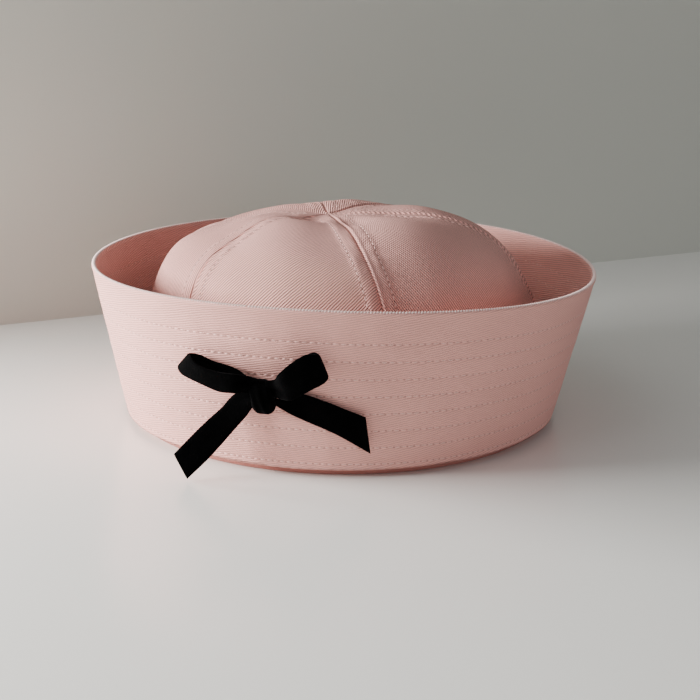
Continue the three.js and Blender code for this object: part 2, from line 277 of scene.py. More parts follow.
def waviness(place, depth, size, seed):
    """Smooth uneven field over points in space, mostly between -2 and 2 times depth.

    The sum of WAVES sine waves in seeded directions, each about size long, times the root of 2/WAVES.
    """
    rng = np.random.default_rng(seed)
    total = np.zeros(place.shape[:-1])
    for _ in range(WAVES):
        direction = rng.normal(size=3)
        direction *= 2.0 * math.pi / (size * rng.uniform(0.7, 1.6) * np.linalg.norm(direction))
        total += np.sin(place @ direction + rng.uniform(0.0, 2.0 * math.pi))
    return depth * (total * math.sqrt(2.0 / WAVES))


def around(azimuth, radius, z, shift, shift_azimuth):
    """Points at a radius and a height round an axis that is moved by shift toward shift_azimuth."""
    angle, away = np.radians(azimuth), math.radians(shift_azimuth)
    return np.stack(np.broadcast_arrays(
        radius * np.sin(angle) + shift * math.sin(away),
        -radius * np.cos(angle) - shift * math.cos(away), z), -1)


def wave(rows, azimuth):
    """1 plus cosine waves round the rim: count per turn, azimuth of a crest, height as a share."""
    total = 1.0
    for count, crest, share in rows:
        total = total + share * np.cos(count * np.radians(azimuth - crest))
    return total


def rim_height(azimuth):
    """Height of the brim's free edge."""
    return BRIM_HEIGHT * wave(RIM_HEIGHT_WAVES, azimuth)


def brim_radius(azimuth, z):
    """Radius of the brim's outer face: straight from the base circle to the wavy rim."""
    rim = RIM_RADIUS * wave(RIM_RADIUS_WAVES, azimuth)
    return BASE_RADIUS + (rim - BASE_RADIUS) * z / rim_height(azimuth)


def brim_point(azimuth, z, out=0.0):
    """Point at a distance out along the normal from the brim's outer face."""
    slope = (brim_radius(azimuth, BRIM_HEIGHT) - BASE_RADIUS) / BRIM_HEIGHT
    lean = np.hypot(1.0, slope)
    radius = brim_radius(azimuth, z) + out / lean
    return around(azimuth, radius, z - out * slope / lean, RIM_SHIFT * z / BRIM_HEIGHT, RIM_SHIFT_AZIMUTH)


def brim_relief(azimuth, z):
    """Small relief of the brim: a groove along each stitch row, cloth that swells between, and a rim bead."""
    level = z * BRIM_HEIGHT / rim_height(azimuth)
    place = brim_point(azimuth, z)
    relief = waviness(place, *BRIM_UNEVEN[0]) + waviness(place, *BRIM_UNEVEN[1])
    depth = GROOVE_DEPTH + waviness(place, *GROOVE_UNEVEN)
    for middle in STITCH_LEVELS:
        relief = relief - depth * bell((level - middle) / GROOVE_WIDTH)
    below = rim_height(azimuth) - z
    bead = RIM_BEAD * bell(below - RIM_BEAD_DROP)
    return relief * smooth(below, 0.5, 5.0) * smooth(z, 1.0, 4.0) + bead


def brim_profile():
    """Section of the brim as arrays: height share, added rise, inset from the outer face, and relief share.

    It runs from the lip outward round the fold, up the outer face, over the rim and down the inner face.
    """
    rows = [(0.0, rise, inset, 0.0) for rise, inset in BOTTOM_FOLD]
    levels = [FOLD_RISE]
    for middle in STITCH_LEVELS:
        levels += [middle + step for step in (-1.3, -0.8, -0.4, 0.0, 0.4, 0.8, 1.3, 2.4, 3.5, 4.6)]
    levels = [level for level in levels if FOLD_RISE <= level < BRIM_HEIGHT - 9.0]
    levels += [BRIM_HEIGHT - step for step in (8.0, 6.8, 5.6, 4.5, 3.6, 2.9, 2.3, 1.8, 1.4)]
    rows += [(level / BRIM_HEIGHT, 0.0, 0.0, 1.0) for level in levels]
    half = 0.5 * BRIM_WALL
    for angle in np.radians(np.linspace(0.0, 180.0, 9)):
        rows.append((1.0, half * (math.sin(angle) - 1.0), half * (1.0 - math.cos(angle)), 1.0))
    inside = [BRIM_HEIGHT - step for step in (1.4, 2.0, 2.8, 3.8, 5.0, 6.8)]
    for middle in reversed(STITCH_LEVELS):
        inside += [middle + step for step in (3.5, 1.2, 0.5, 0.0, -0.5, -1.2)]
    rows += [(level / BRIM_HEIGHT, 0.0, BRIM_WALL, -1.0) for level in inside if level > 4.0]
    rows += [(0.0, rise, inset, 0.0) for rise, inset in (
        (3.6, BRIM_WALL), (2.4, 1.15 * BRIM_WALL), (BRIM_WALL, 1.5 * BRIM_WALL), (BRIM_WALL, 2.0 * BRIM_WALL),
        (BRIM_WALL, LIP_INSET))]
    return np.array(rows).T


def stitches_round(pitch):
    """Number of stitches in one row round the brim."""
    return round(math.pi * (BASE_RADIUS + RIM_RADIUS) / pitch)


def brim_stitch_place(azimuth, z, count):
    """Stitch coordinates on the brim: stitches passed along the row, and distance from the nearest row."""
    steps = (z * BRIM_HEIGHT / rim_height(azimuth) - STITCH_FIRST) / STITCH_STEP
    nearest = np.clip(np.round(steps), 0, STITCH_ROWS - 1)
    return azimuth / 360.0 * count + ROW_SLIP * steps, np.abs(steps - nearest) * STITCH_STEP


def brim_grid(columns, stitches=1):
    """Grid of points round the brim and along its closed section, its cloth and its stitch coordinates."""
    share, rise, inset, relief = (row[None, :] for row in brim_profile())
    azimuth = np.linspace(BRIM_BACK - 360.0, BRIM_BACK, columns + 1)[:, None]
    z = share * rim_height(azimuth) + rise
    inner = np.where(relief < 0.0, INNER_RELIEF, relief)
    radius = brim_radius(azimuth, z) - inset + brim_relief(azimuth, z) * inner
    points = around(azimuth, radius, z, RIM_SHIFT * z / BRIM_HEIGHT, RIM_SHIFT_AZIMUTH)
    steps = np.linalg.norm(np.diff(points, axis=1), axis=2)
    run = np.concatenate([np.zeros((columns + 1, 1)), np.cumsum(steps, axis=1)], axis=1)
    along = np.radians(azimuth) * 0.5 * (BASE_RADIUS + RIM_RADIUS) + 0.0 * run
    row, gap = brim_stitch_place(azimuth, z, stitches)
    gap = np.where(relief > 0.9, gap, FAR_FROM_STITCH)
    return points, np.stack([along, run], -1), np.stack([row + 0.0 * run, gap + 0.0 * run], -1)


def crown_profile(count):
    """Radius, height, share of the length and outward normal along the crown's meridian, base to centre.

    The plain meridian is a superellipse: radius R cos(angle)^(2/n) and height H sin(angle)^(2/n).
    """
    angle = 0.5 * math.pi * (1.0 - (1.0 - np.linspace(0.0, 1.0, 6001)) ** 3)
    r = CROWN_RADIUS * np.clip(np.cos(angle), 0.0, None) ** (2.0 / CROWN_BULGE)
    z = CROWN_HEIGHT * np.sin(angle) ** (2.0 / CROWN_BULGE)
    length = np.concatenate([[0.0], np.cumsum(np.hypot(np.diff(r), np.diff(z)))])
    start = np.interp(CROWN_BOTTOM, z, length)
    end = np.interp(-0.12, -r, length)
    at = np.linspace(start, end, count)
    step = 0.05
    r_at, z_at = np.interp(at, length, r), np.interp(at, length, z)
    dr = np.interp(at + step, length, r) - np.interp(at - step, length, r)
    dz = np.interp(at + step, length, z) - np.interp(at - step, length, z)
    size = np.hypot(dr, dz)
    return r_at, z_at, at / length[-1], dz / size, -dr / size, at


def panel_of(azimuth):
    """Index of the crown panel, the share of the way across it and its width in degrees, for each azimuth."""
    seams = np.array(SEAMS_ROUND)
    turned = (azimuth - seams[0]) % 360.0 + seams[0]
    index = np.clip(np.searchsorted(seams, turned, side="right") - 1, 0, 5)
    width = seams[index + 1] - seams[index]
    return index, (turned - seams[index]) / width, width


def crown_out(r, z, share, azimuth, index, across, width):
    """How far the cloth stands out from the plain crown.

    Panel puff, soft swells, the seam valley between two raised seam allowances, the topstitch groove and fine
    unevenness of sewn cloth.
    """
    height = z / CROWN_HEIGHT
    arch = np.clip(np.sin(np.pi * share ** 1.1), 0.0, None) ** 1.5
    dome = np.sin(np.pi * across)
    out = np.array(PANEL_PUFFS)[index] * PUFF_DEPTH * (0.4 * dome + 0.6 * dome ** 2 - 0.40) * arch
    for place, spread, at, reach, amount in CROWN_SWELLS:
        round_crown = bell(turn_between(azimuth, place) / spread)
        along = bell((r / CROWN_RADIUS - at) / reach)
        out = out + amount * SOFT_DEPTH * round_crown * along * smooth(height, 0.45, 0.85)
    seam = np.minimum(across, 1.0 - across) * np.radians(width) * r
    near = smooth(r, 5.0, 18.0)
    edge = np.where(across < 0.5, FOLD_EDGE, FLAT_EDGE)
    out = out - SEAM_DEPTH * bell(seam / SEAM_WIDTH) * smooth(r, 0.0, 6.0)
    out = out + edge * bell((seam - 0.9) / 0.7) * near
    out = out + ALLOWANCE_RISE * smooth(ALLOWANCE_END - seam, 0.0, 1.3) * near
    out = out - TOPSTITCH_DEPTH * bell((seam - TOPSTITCH) / 0.6) * near
    angle = np.radians(azimuth)
    place = np.stack(np.broadcast_arrays(r * np.sin(angle), r * np.cos(angle), z), -1)
    out = out + waviness(place, *CROWN_UNEVEN) * smooth(r, 4.0, 20.0)
    return out + waviness(place, *SEAM_PUCKER) * bell((seam - 5.0) / 3.0) * near


def crown_place(r, z, out_r, out_z, azimuth, out):
    """Point of the crown at a distance out from its meridian, with its narrowing, sway, lean and sink."""
    height = z / CROWN_HEIGHT
    radius = r * (1.0 - CROWN_NARROWING * height) + out * out_r
    lean = CROWN_LEAN * height ** 2.5 - CROWN_SWAY * np.sin(np.pi * np.clip(height, 0.0, 1.0))
    level = z + out * out_z - CROWN_SINK * bell(r / CROWN_SINK_RADIUS)
    return around(azimuth, radius, level, lean, CROWN_LEAN_AZIMUTH)


def crown_at(length):
    """Radius, height, share and outward normal of the meridian at given lengths from its foot."""
    table = crown_profile(MERIDIAN_POINTS)
    return tuple(np.interp(length, table[5], column) for column in table[:5])


def topstitch_point(length, seam, side, step=0.0):
    """Point of the cloth beside a seam, a step farther from it than the topstitching."""
    r, z, share, out_r, out_z = crown_at(length)
    azimuth = seam + side * np.degrees((TOPSTITCH + step) / r)
    index, across, width = panel_of(azimuth)
    return crown_place(r, z, out_r, out_z, azimuth, crown_out(r, z, share, azimuth, index, across, width))


def bow_point(across, up, out):
    """Point of the bow: across and up along the brim's outer face, out from it."""
    z = BOW_HEIGHT + up
    azimuth = BOW_AZIMUTH + np.degrees(across / brim_radius(BOW_AZIMUTH, z))
    return brim_point(azimuth, z, out)


def through(points, count):
    """Smooth curve through points: a cubic between neighbours, with slopes from chord lengths."""
    points = np.asarray(points, dtype=float)
    chord = np.sqrt(np.linalg.norm(np.diff(points, axis=0), axis=1))
    knots = np.concatenate([[0.0], np.cumsum(chord)])
    slopes = np.gradient(points, knots, axis=0)
    at = np.linspace(0.0, knots[-1], count)
    piece = np.clip(np.searchsorted(knots, at, side="right") - 1, 0, len(knots) - 2)
    width = (knots[piece + 1] - knots[piece])[:, None]
    t = ((at - knots[piece])[:, None]) / width
    a, b = points[piece], points[piece + 1]
    u, v = slopes[piece] * width, slopes[piece + 1] * width
    return (
        (2 * t ** 3 - 3 * t ** 2 + 1) * a + (t ** 3 - 2 * t ** 2 + t) * u
        + (3 * t ** 2 - 2 * t ** 3) * b + (t ** 3 - t ** 2) * v
    )


def shift_to_frame():
    """Offset in millimetres from the cap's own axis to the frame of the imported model."""
    points = brim_grid(360)[0]
    low, high = (np.array(corner) * 1000.0 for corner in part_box("brim"))
    middle = 0.5 * (low + high) - 0.5 * (points.min((0, 1)) + points.max((0, 1)))
    middle[2] = 0.0
    return middle


SHIFT = shift_to_frame()


def grain_turn(cloth, degrees):
    """Cloth coordinates turned so that the twill ribs run along the first one."""
    angle = math.radians(degrees)
    return cloth @ np.array([[math.cos(angle), -math.sin(angle)], [math.sin(angle), math.cos(angle)]])


def grid_faces(rows, columns, wrap_rows=False, wrap_columns=False):
    """Corner indices of every quadrilateral of a grid, four columns wide."""
    i = np.arange(rows if wrap_rows else rows - 1)[:, None]
    j = np.arange(columns if wrap_columns else columns - 1)[None, :]
    ni, nj = (i + 1) % rows, (j + 1) % columns
    corners = np.broadcast_arrays(i * columns + j, ni * columns + j, ni * columns + nj, i * columns + nj)
    return np.stack(corners, -1).reshape(-1, 4)


def slab_faces(rows, columns):
    """Faces of a closed slab whose grid rows run across one face and back across the other."""
    j = np.arange(columns - 1)
    start = np.stack([j, j + 1, 2 * columns - 2 - j, 2 * columns - 1 - j], -1)
    end = start[:, ::-1] + (rows - 1) * 2 * columns
    return np.concatenate([grid_faces(rows, 2 * columns, wrap_columns=True), start, end])


def outward(points, faces):
    """The faces, all turned round if the closed shape they make has a negative volume."""
    a, b, c, d = (points[faces[:, k]] for k in range(4))
    volume = np.einsum("ij,ij->", a, np.cross(b, c)) + np.einsum("ij,ij->", a, np.cross(c, d))
    return faces[:, ::-1] if volume < 0.0 else faces


def make_piece(name, points, faces, layers=None, material=None, slot=None, replaces=()):
    """Mesh object from millimetre points and four-cornered faces; a repeated last corner makes a triangle."""
    mesh = bpy.data.meshes.new(name)
    mesh.vertices.add(len(points))
    mesh.vertices.foreach_set("co", ((points + SHIFT) * 0.001).astype(np.float32).ravel())
    triangle = faces[:, 3] == faces[:, 2]
    sizes = np.where(triangle, 3, 4)
    keep = np.ones(faces.shape, dtype=bool)
    keep[triangle, 3] = False
    mesh.loops.add(int(sizes.sum()))
    mesh.loops.foreach_set("vertex_index", faces[keep].astype(np.int32))
    mesh.polygons.add(len(faces))
    mesh.polygons.foreach_set("loop_start", (np.cumsum(sizes) - sizes).astype(np.int32))
    mesh.polygons.foreach_set("loop_total", sizes.astype(np.int32))
    for layer_name, corners in (layers or {}).items():
        layer = mesh.uv_layers.new(name=layer_name)
        layer.data.foreach_set("uv", corners[keep].astype(np.float32).ravel())
    mesh.update(calc_edges=True)
    mesh.polygons.foreach_set("use_smooth", np.ones(len(faces), dtype=bool))
    mesh.validate()
    piece = bpy.data.objects.new(name, mesh)
    bpy.context.scene.collection.objects.link(piece)
    if material is not None:
        mesh.materials.append(material)
    if slot is not None:
        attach(piece, "root")
    if replaces:
        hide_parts(*replaces)
    return piece


def stitch_shape(points, along, outward_way, length, thread, row=0):
    """One small thread capsule on each point: rings of five round a bowed line that dips into the cloth."""
    width, height, seed = thread
    rng = np.random.default_rng(seed + row)
    count = len(points)
    across = np.cross(outward_way, along)
    length = length * rng.uniform(0.92, 1.08, (count, 1, 1, 1))
    skew = rng.uniform(-0.10, 0.10, (count, 1, 1, 1))
    t = np.array([-1.0, -0.62, 0.0, 0.62, 1.0])[None, :, None, None]
    fat = np.array([0.35, 0.92, 1.0, 0.92, 0.35])[None, :, None, None]
    turn = (2.0 * np.pi * np.arange(5) / 5)[None, None, :, None]
    x = 0.5 * length * t
    y = skew * x + 0.5 * width * fat * np.cos(turn)
    h = 0.5 * height * fat * np.sin(turn) - THREAD_SINK * t ** 4
    ring = points[:, None, None, :] + x * along[:, None, None, :] + y * across[:, None, None, :]
    ring = ring + h * outward_way[:, None, None, :]
    base = (25 * np.arange(count))[:, None, None]
    sides = grid_faces(5, 5, wrap_columns=True)[None, :, :] + base
    caps = np.array([[0, 1, 2, 2], [0, 2, 3, 3], [0, 3, 4, 4]])
    ends = np.concatenate([caps, caps[:, [0, 2, 1, 1]] + 20])[None, :, :] + base
    return ring.reshape(-1, 3), np.concatenate([sides.reshape(-1, 4), ends.reshape(-1, 4)])


def axes(forward, outward_way):
    """Unit vectors forward and outward at right angles to each other."""
    along = forward / np.linalg.norm(forward, axis=1, keepdims=True)
    up = outward_way - along * np.einsum("ij,ij->i", outward_way, along)[:, None]
    return along, up / np.linalg.norm(up, axis=1, keepdims=True)


def joined(shapes):
    """Several (points, faces) pairs as one."""
    points, faces, start = [], [], 0
    for p, f in shapes:
        points.append(p)
        faces.append(f + start)
        start += len(p)
    return np.concatenate(points), np.concatenate(faces)


def new_material(name):
    """Material with its Principled shader and the node tree to build on."""
    material = bpy.data.materials.new(name)
    material.use_nodes = True
    tree = material.node_tree
    return material, tree, tree.nodes["Principled BSDF"]


def node(tree, kind, links=(), **values):
    """New node with its settings, and its inputs linked from sockets or set to values."""
    made = tree.nodes.new(kind)
    for key, value in values.items():
        setattr(made, key, value)
    for key, value in dict(links).items():
        socket = made.inputs[key]
        if isinstance(value, bpy.types.NodeSocket):
            tree.links.new(value, socket)
        else:
            socket.default_value = value
    return made


def calc(tree, operation, *values):
    """Output of a Math node: the operation on values, each a socket or a number."""
    return node(tree, "ShaderNodeMath", dict(enumerate(values)), operation=operation).outputs[0]


def noise(tree, place, scale, detail):
    """Output of a Noise node on a place."""
    return node(tree, "ShaderNodeTexNoise", {"Vector": place, "Scale": scale, "Detail": detail}).outputs[0]


def object_place(tree):
    """The piece's own coordinates."""
    return node(tree, "ShaderNodeTexCoord").outputs["Object"]


def two_tones(tree, mask, low, high):
    """Colour that a mask takes from the low tone to the high one; a tone is a position and a colour."""
    made = node(tree, "ShaderNodeValToRGB", {0: mask})
    for stop, (position, colour) in zip(made.color_ramp.elements, (low, high)):
        stop.position = position
        stop.color = tuple(colour) + (1.0,)
    return made.outputs["Color"]


def finish_shader(tree, shader, colour, height, strength, distance, values):
    """Give the Principled shader its colour, a bump from a height, and its plain values."""
    bump = node(tree, "ShaderNodeBump", {"Height": height, "Strength": strength, "Distance": distance})
    tree.links.new(colour, shader.inputs["Base Color"])
    tree.links.new(bump.outputs["Normal"], shader.inputs["Normal"])
    for name, value in values.items():
        shader.inputs[name].default_value = value


def new_group(name, inputs, outputs):
    """Node group with its input and output nodes; inputs name a socket type each, outputs are numbers."""
    group = bpy.data.node_groups.new(name, "ShaderNodeTree")
    for label, kind in inputs.items():
        group.interface.new_socket(label, in_out="INPUT", socket_type="NodeSocket" + kind)
    for label in outputs:
        group.interface.new_socket(label, in_out="OUTPUT", socket_type="NodeSocketFloat")
    return group, group.nodes.new("NodeGroupInput").outputs, group.nodes.new("NodeGroupOutput").inputs


def hole_shade_group():
    """Node group of a mask for painted shade in the stitch holes: 1 at the end of each stitch, fading over
    half a millimetre.
    """
    group, entry, leave = new_group("Painted hole shade", {"Stitch": "Vector", "Pitch": "Float"}, ("Hole",))
    split = node(group, "ShaderNodeSeparateXYZ", {"Vector": entry["Stitch"]})
    phase = calc(group, "PINGPONG", split.outputs["X"], 0.5)
    along = calc(group, "MULTIPLY", phase, entry["Pitch"])
    offset = node(group, "ShaderNodeCombineXYZ", {"X": along, "Y": split.outputs["Y"]})
    reach = node(group, "ShaderNodeVectorMath", {0: offset.outputs[0]}, operation="LENGTH")
    hole = node(
        group, "ShaderNodeMapRange", {0: reach.outputs["Value"], 1: 0.15, 2: 0.6, 3: 1.0, 4: 0.0},
        interpolation_type="SMOOTHSTEP")
    group.links.new(hole.outputs[0], leave["Hole"])
    return group


def twill_group():
    """Node group of woven twill: ribs along the first cloth coordinate, thread humps along each rib."""
    group, entry, leave = new_group("Twill weave", {"Cloth": "Vector", "Pitch": "Float"}, ("Rib", "Height"))
    split = node(group, "ShaderNodeSeparateXYZ", {"Vector": entry["Cloth"]})
    wobble = noise(group, entry["Cloth"], 0.35, 2.0)
    drift = calc(group, "MULTIPLY_ADD", wobble, 0.5, split.outputs["Y"])
    turns = calc(group, "DIVIDE", drift, entry["Pitch"])
    phase = calc(group, "MULTIPLY", turns, 2.0 * math.pi)
    rib = calc(group, "MULTIPLY_ADD", calc(group, "SINE", phase), 0.5, 0.5)
    step = calc(group, "DIVIDE", split.outputs["X"], entry["Pitch"])
    hump = calc(group, "SINE", calc(group, "MULTIPLY_ADD", step, 2.5 * math.pi, phase))
    mixed = calc(group, "MULTIPLY_ADD", hump, 0.16, rib)
    height = calc(group, "MULTIPLY_ADD", noise(group, entry["Cloth"], 2.4, 3.0), 0.45, mixed)
    group.links.new(mixed, leave["Rib"])
    group.links.new(height, leave["Height"])
    return group


def grouped(name, make):
    """The node group of that name, made on first use."""
    return bpy.data.node_groups.get(name) or make()


def twill_material(name, settings, contrast, pitch, hole_shade):
    """Matte cotton twill: paler ribs, soft uneven patches, painted shade in the holes at the stitch ends and
    a fine woven bump.
    """
    material, tree, shader = new_material(name)
    cloth = node(tree, "ShaderNodeUVMap", uv_map="Cloth").outputs["UV"]
    stitch = node(tree, "ShaderNodeUVMap", uv_map="Stitch").outputs["UV"]
    weave = node(
        tree, "ShaderNodeGroup", {"Cloth": cloth, "Pitch": pitch},
        node_tree=grouped("Twill weave", twill_group))
    holes = node(
        tree, "ShaderNodeGroup", {"Stitch": stitch, "Pitch": settings.stitch_pitch},
        node_tree=grouped("Painted hole shade", hole_shade_group))
    base = np.array(settings.cloth_colour)
    twill = two_tones(
        tree, weave.outputs["Rib"], (0.05, base * (1.0 - contrast)),
        (0.85, np.minimum(base * (1.0 + 0.3 * contrast), 1.0)))
    patches = noise(tree, object_place(tree), 26.0, 3.0)
    tone = node(tree, "ShaderNodeMapRange", {0: patches, 1: 0.3, 2: 0.7, 3: 0.96, 4: 1.04})
    # Painted shade: the colour is darkened in the holes at each stitch end, by the given share.
    hole_shade_factor = calc(tree, "MULTIPLY_ADD", holes.outputs["Hole"], -hole_shade, 1.0)
    shade = calc(tree, "MULTIPLY", tone.outputs[0], hole_shade_factor)
    colour = node(tree, "ShaderNodeVectorMath", {0: twill, "Scale": shade}, operation="SCALE")
    finish_shader(tree, shader, colour.outputs[0], weave.outputs["Height"], 0.9, 0.0007 * contrast, {
        "Roughness": 0.88, "Specular IOR Level": 0.22, "Sheen Weight": 0.10, "Sheen Roughness": 0.5,
        "Sheen Tint": (1.0, 0.86, 0.84, 1.0)})
    return material


def brim_twill(settings):
    """Cotton twill of the brim, with painted shade on its bottom fold: below a set height the colour is
    painted a darker, redder tone.
    """
    material = twill_material("brim_twill", settings, 0.24, 0.9 * settings.twill_pitch, 0.3)
    tree = material.node_tree
    base = tree.nodes["Principled BSDF"].inputs["Base Color"]
    height = node(tree, "ShaderNodeSeparateXYZ", {"Vector": object_place(tree)}).outputs["Z"]
    # Painted shade: below the fold's top the colour is mixed into a darker, redder tone, as the fold under
    # the brim lies in shade.
    under = node(
        tree, "ShaderNodeMapRange",
        {0: height, 1: (UNDER_SHADE_TOP - 0.4) / 1000.0, 2: (UNDER_SHADE_TOP + 0.2) / 1000.0, 3: 1.0, 4: 0.0},
        interpolation_type="SMOOTHSTEP")
    painted_under_shade = tuple(UNDER_SHADE_DARKENING * np.array(settings.cloth_colour) ** 1.4) + (1.0,)
    mix = node(
        tree, "ShaderNodeMix", {0: under.outputs[0], 6: base.links[0].from_socket, 7: painted_under_shade}, data_type="RGBA")
    tree.links.new(mix.outputs[2], base)
    return material


def crown_twill(settings):
    """Twill of the soft crown, with clear ribs."""
    return twill_material("crown_twill", settings, 0.52, settings.twill_pitch, 0.5)


def thread_material(name, colour):
    """Sewing thread: a paler tone of the cloth with a fine twist."""
    material, tree, shader = new_material(name)
    twist = noise(tree, object_place(tree), 2600.0, 1.0)
    base = np.array(colour)
    tone = two_tones(tree, twist, (0.35, base * 0.86), (0.65, base))
    finish_shader(
        tree, shader, tone, twist, 0.5, 0.00008, {"Roughness": 0.6, "Specular IOR Level": 0.35})
    return material


def velvet_material(settings):
    """Black velvet: short pile seen as fine and broad unevenness, with a weak sheen at the edges."""
    material, tree, shader = new_material("velvet_pile")
    place = object_place(tree)
    brushed = noise(tree, place, 160.0, 4.0)
    base = np.array(settings.ribbon_colour)
    tone = two_tones(tree, brushed, (0.35, base * 0.5), (0.72, base * 1.8))
    pile = calc(tree, "MULTIPLY_ADD", brushed, 0.8, noise(tree, place, 1500.0, 3.0))
    finish_shader(tree, shader, tone, pile, 0.7, 0.0003, {
        "Roughness": 0.95, "Specular IOR Level": 0.02, "Sheen Weight": 0.02, "Sheen Roughness": 0.35,
        "Sheen Tint": (0.75, 0.75, 0.8, 1.0)})
    return material


def material_named(name, make):
    """The material of that name, made on first use."""
    return bpy.data.materials.get(name) or make(bpy.context.scene.sailor_cap)


class SailorCapSettings(bpy.types.PropertyGroup):
    """Colours and sewing sizes of the cap."""

    cloth_colour: bpy.props.FloatVectorProperty(
        name="Cloth", description="Base colour of the cotton twill", subtype="COLOR",
        default=(0.86, 0.435, 0.378))
    thread_colour: bpy.props.FloatVectorProperty(
        name="Thread", description="Colour of the sewing thread", subtype="COLOR",
        default=(0.90, 0.55, 0.49))
    # Paler than the sewing thread: partly the thread's own colour, partly a painted highlight along the top
    # edge of the rim.
    rim_highlight_thread_colour: bpy.props.FloatVectorProperty(
        name="Rim thread", description="Colour of the thread along the rim", subtype="COLOR",
        default=(0.96, 0.72, 0.67))
    ribbon_colour: bpy.props.FloatVectorProperty(
        name="Ribbon", description="Base colour of the velvet ribbon", subtype="COLOR",
        default=(0.0006, 0.0006, 0.0007))
    twill_pitch: bpy.props.FloatProperty(
        name="Twill pitch", description="Distance between twill ribs in millimetres",
        default=1.05, min=0.3, max=3.0)
    stitch_pitch: bpy.props.FloatProperty(
        name="Stitch pitch", description="Length of one stitch and its gap in millimetres",
        default=2.8, min=1.0, max=8.0)
    brim_columns: bpy.props.IntProperty(
        name="Brim columns", description="Number of faces round the brim",
        default=480, min=60, max=520)
    panel_rows: bpy.props.IntProperty(
        name="Panel rows", description="Number of points along each crown panel",
        default=120, min=20, max=200)


class SAILORCAP_OT_brim(bpy.types.Operator):
    """Build the turned-up brim with its stitch grooves, rim bead and bottom fold."""

    bl_idname = "sailorcap.brim"
    bl_label = "Brim"

    def execute(self, context):
        settings = context.scene.sailor_cap
        columns = settings.brim_columns
        points, cloth, stitch = brim_grid(columns, stitches_round(settings.stitch_pitch))
        rows = points.shape[1]
        cloth = grain_turn(cloth, BRIM_GRAIN)
        ring = points[:-1].reshape(-1, 3)
        closed = grid_faces(columns, rows, True, True)
        faces = outward(ring, closed)
        flat = grid_faces(columns + 1, rows).reshape(columns, rows - 1, 4)
        last = np.arange(columns) * rows + rows - 1
        closing = np.stack([last, last + rows, last + rows, last], -1)[:, None, :]
        corner = np.concatenate([flat, closing], axis=1).reshape(-1, 4)
        if not np.array_equal(faces, closed):
            corner = corner[:, ::-1]
        make_piece(
            "brim_cloth", ring, faces,
            {"Cloth": cloth.reshape(-1, 2)[corner], "Stitch": stitch.reshape(-1, 2)[corner]},
            material_named("brim_twill", brim_twill), "pink_twill", ("brim",))
        return {"FINISHED"}


def panel_columns():
    """Columns across half a panel: a distance from the seam, capped at a share of the panel's width."""
    near = (0.0, 0.25, 0.5, 0.8, 1.2, 1.7, 2.3, 3.1, 4.1, 5.0, 5.5, 5.8, 6.0, 6.2, 6.5, 6.9, 7.4, 8.0)
    rows = [(distance, 0.18 * index / 17.0) for index, distance in enumerate(near)]
    rows += [(1000.0, share) for share in (0.215, 0.255, 0.295, 0.335, 0.375, 0.415, 0.455)]
    return rows


def panel_grid(index, count, pitch):
    """Outer and inner points of one crown panel, its cloth and its stitch coordinates, columns across."""
    r, z, share, out_r, out_z, length = (value[:, None] for value in crown_profile(count))
    start = SEAMS_ROUND[index]
    width = SEAMS_ROUND[index + 1] - start
    half = np.concatenate([
        np.minimum(distance / np.radians(width) / r, cap) for distance, cap in panel_columns()], axis=1)
    across = np.concatenate([half, np.full_like(r, 0.5), 1.0 - half[:, ::-1]], axis=1)
    azimuth = start + across * width
    out = crown_out(r, z, share, azimuth, index, across, width)
    outer = crown_place(r, z, out_r, out_z, azimuth, out)
    inner = crown_place(r, z, out_r, out_z, azimuth, out - CROWN_WALL)
    side = (across - 0.5) * np.radians(width) * r
    length = length + 0.0 * side
    gap = np.abs(0.5 * np.radians(width) * r - np.abs(side) - TOPSTITCH)
    gap = np.where(r < TOPSTITCH_END, FAR_FROM_STITCH, gap)
    return outer, inner, np.stack([side, length], -1), np.stack([(length - length[0, 0]) / pitch, gap], -1)


class SAILORCAP_OT_crown(bpy.types.Operator):
    """Build the six crown panels with their seams, seam allowances and soft dents."""

    bl_idname = "sailorcap.crown"
    bl_label = "Crown"

    def execute(self, context):
        settings = context.scene.sailor_cap
        for index, name in enumerate(PANEL_NAMES):
            outer, inner, cloth, stitch = panel_grid(index, settings.panel_rows, settings.stitch_pitch)
            rows, columns = cloth.shape[:2]
            points = np.concatenate([outer, inner[:, ::-1]], axis=1).reshape(-1, 3)
            cloth = grain_turn(np.concatenate([cloth, cloth[:, ::-1]], axis=1), PANEL_GRAINS[index])
            stitch = np.concatenate([stitch, np.full_like(stitch, FAR_FROM_STITCH)], axis=1)
            faces = outward(points, slab_faces(rows, columns))
            make_piece(
                name + "_cloth", points, faces,
                {"Cloth": cloth.reshape(-1, 2)[faces], "Stitch": stitch.reshape(-1, 2)[faces]},
                material_named("crown_twill", crown_twill), "pink_twill", (name,))
        return {"FINISHED"}


def brim_stitch_shapes(pitch):
    """Stitches of the brim's rows, on its outer and its inner face: (points, faces) pairs."""
    count = stitches_round(pitch)
    shapes = []
    for row, middle in enumerate(STITCH_LEVELS):
        azimuth = (np.arange(count) + 0.5 - ROW_SLIP * row) * 360.0 / count
        level = middle / BRIM_HEIGHT * rim_height(azimuth)
        relief = brim_relief(azimuth, level)
        ahead = brim_point(azimuth + 0.3, level) - brim_point(azimuth - 0.3, level)
        for way, out in ((1.0, relief + 0.10), (-1.0, INNER_RELIEF * relief - BRIM_WALL + 0.02)):
            normal = way * (brim_point(azimuth, level, 1.0) - brim_point(azimuth, level))
            along, up = axes(ahead, normal)
            shapes.append(stitch_shape(
                brim_point(azimuth, level, out), along, up, STITCH_LENGTH * pitch, BRIM_THREAD, row))
    return shapes


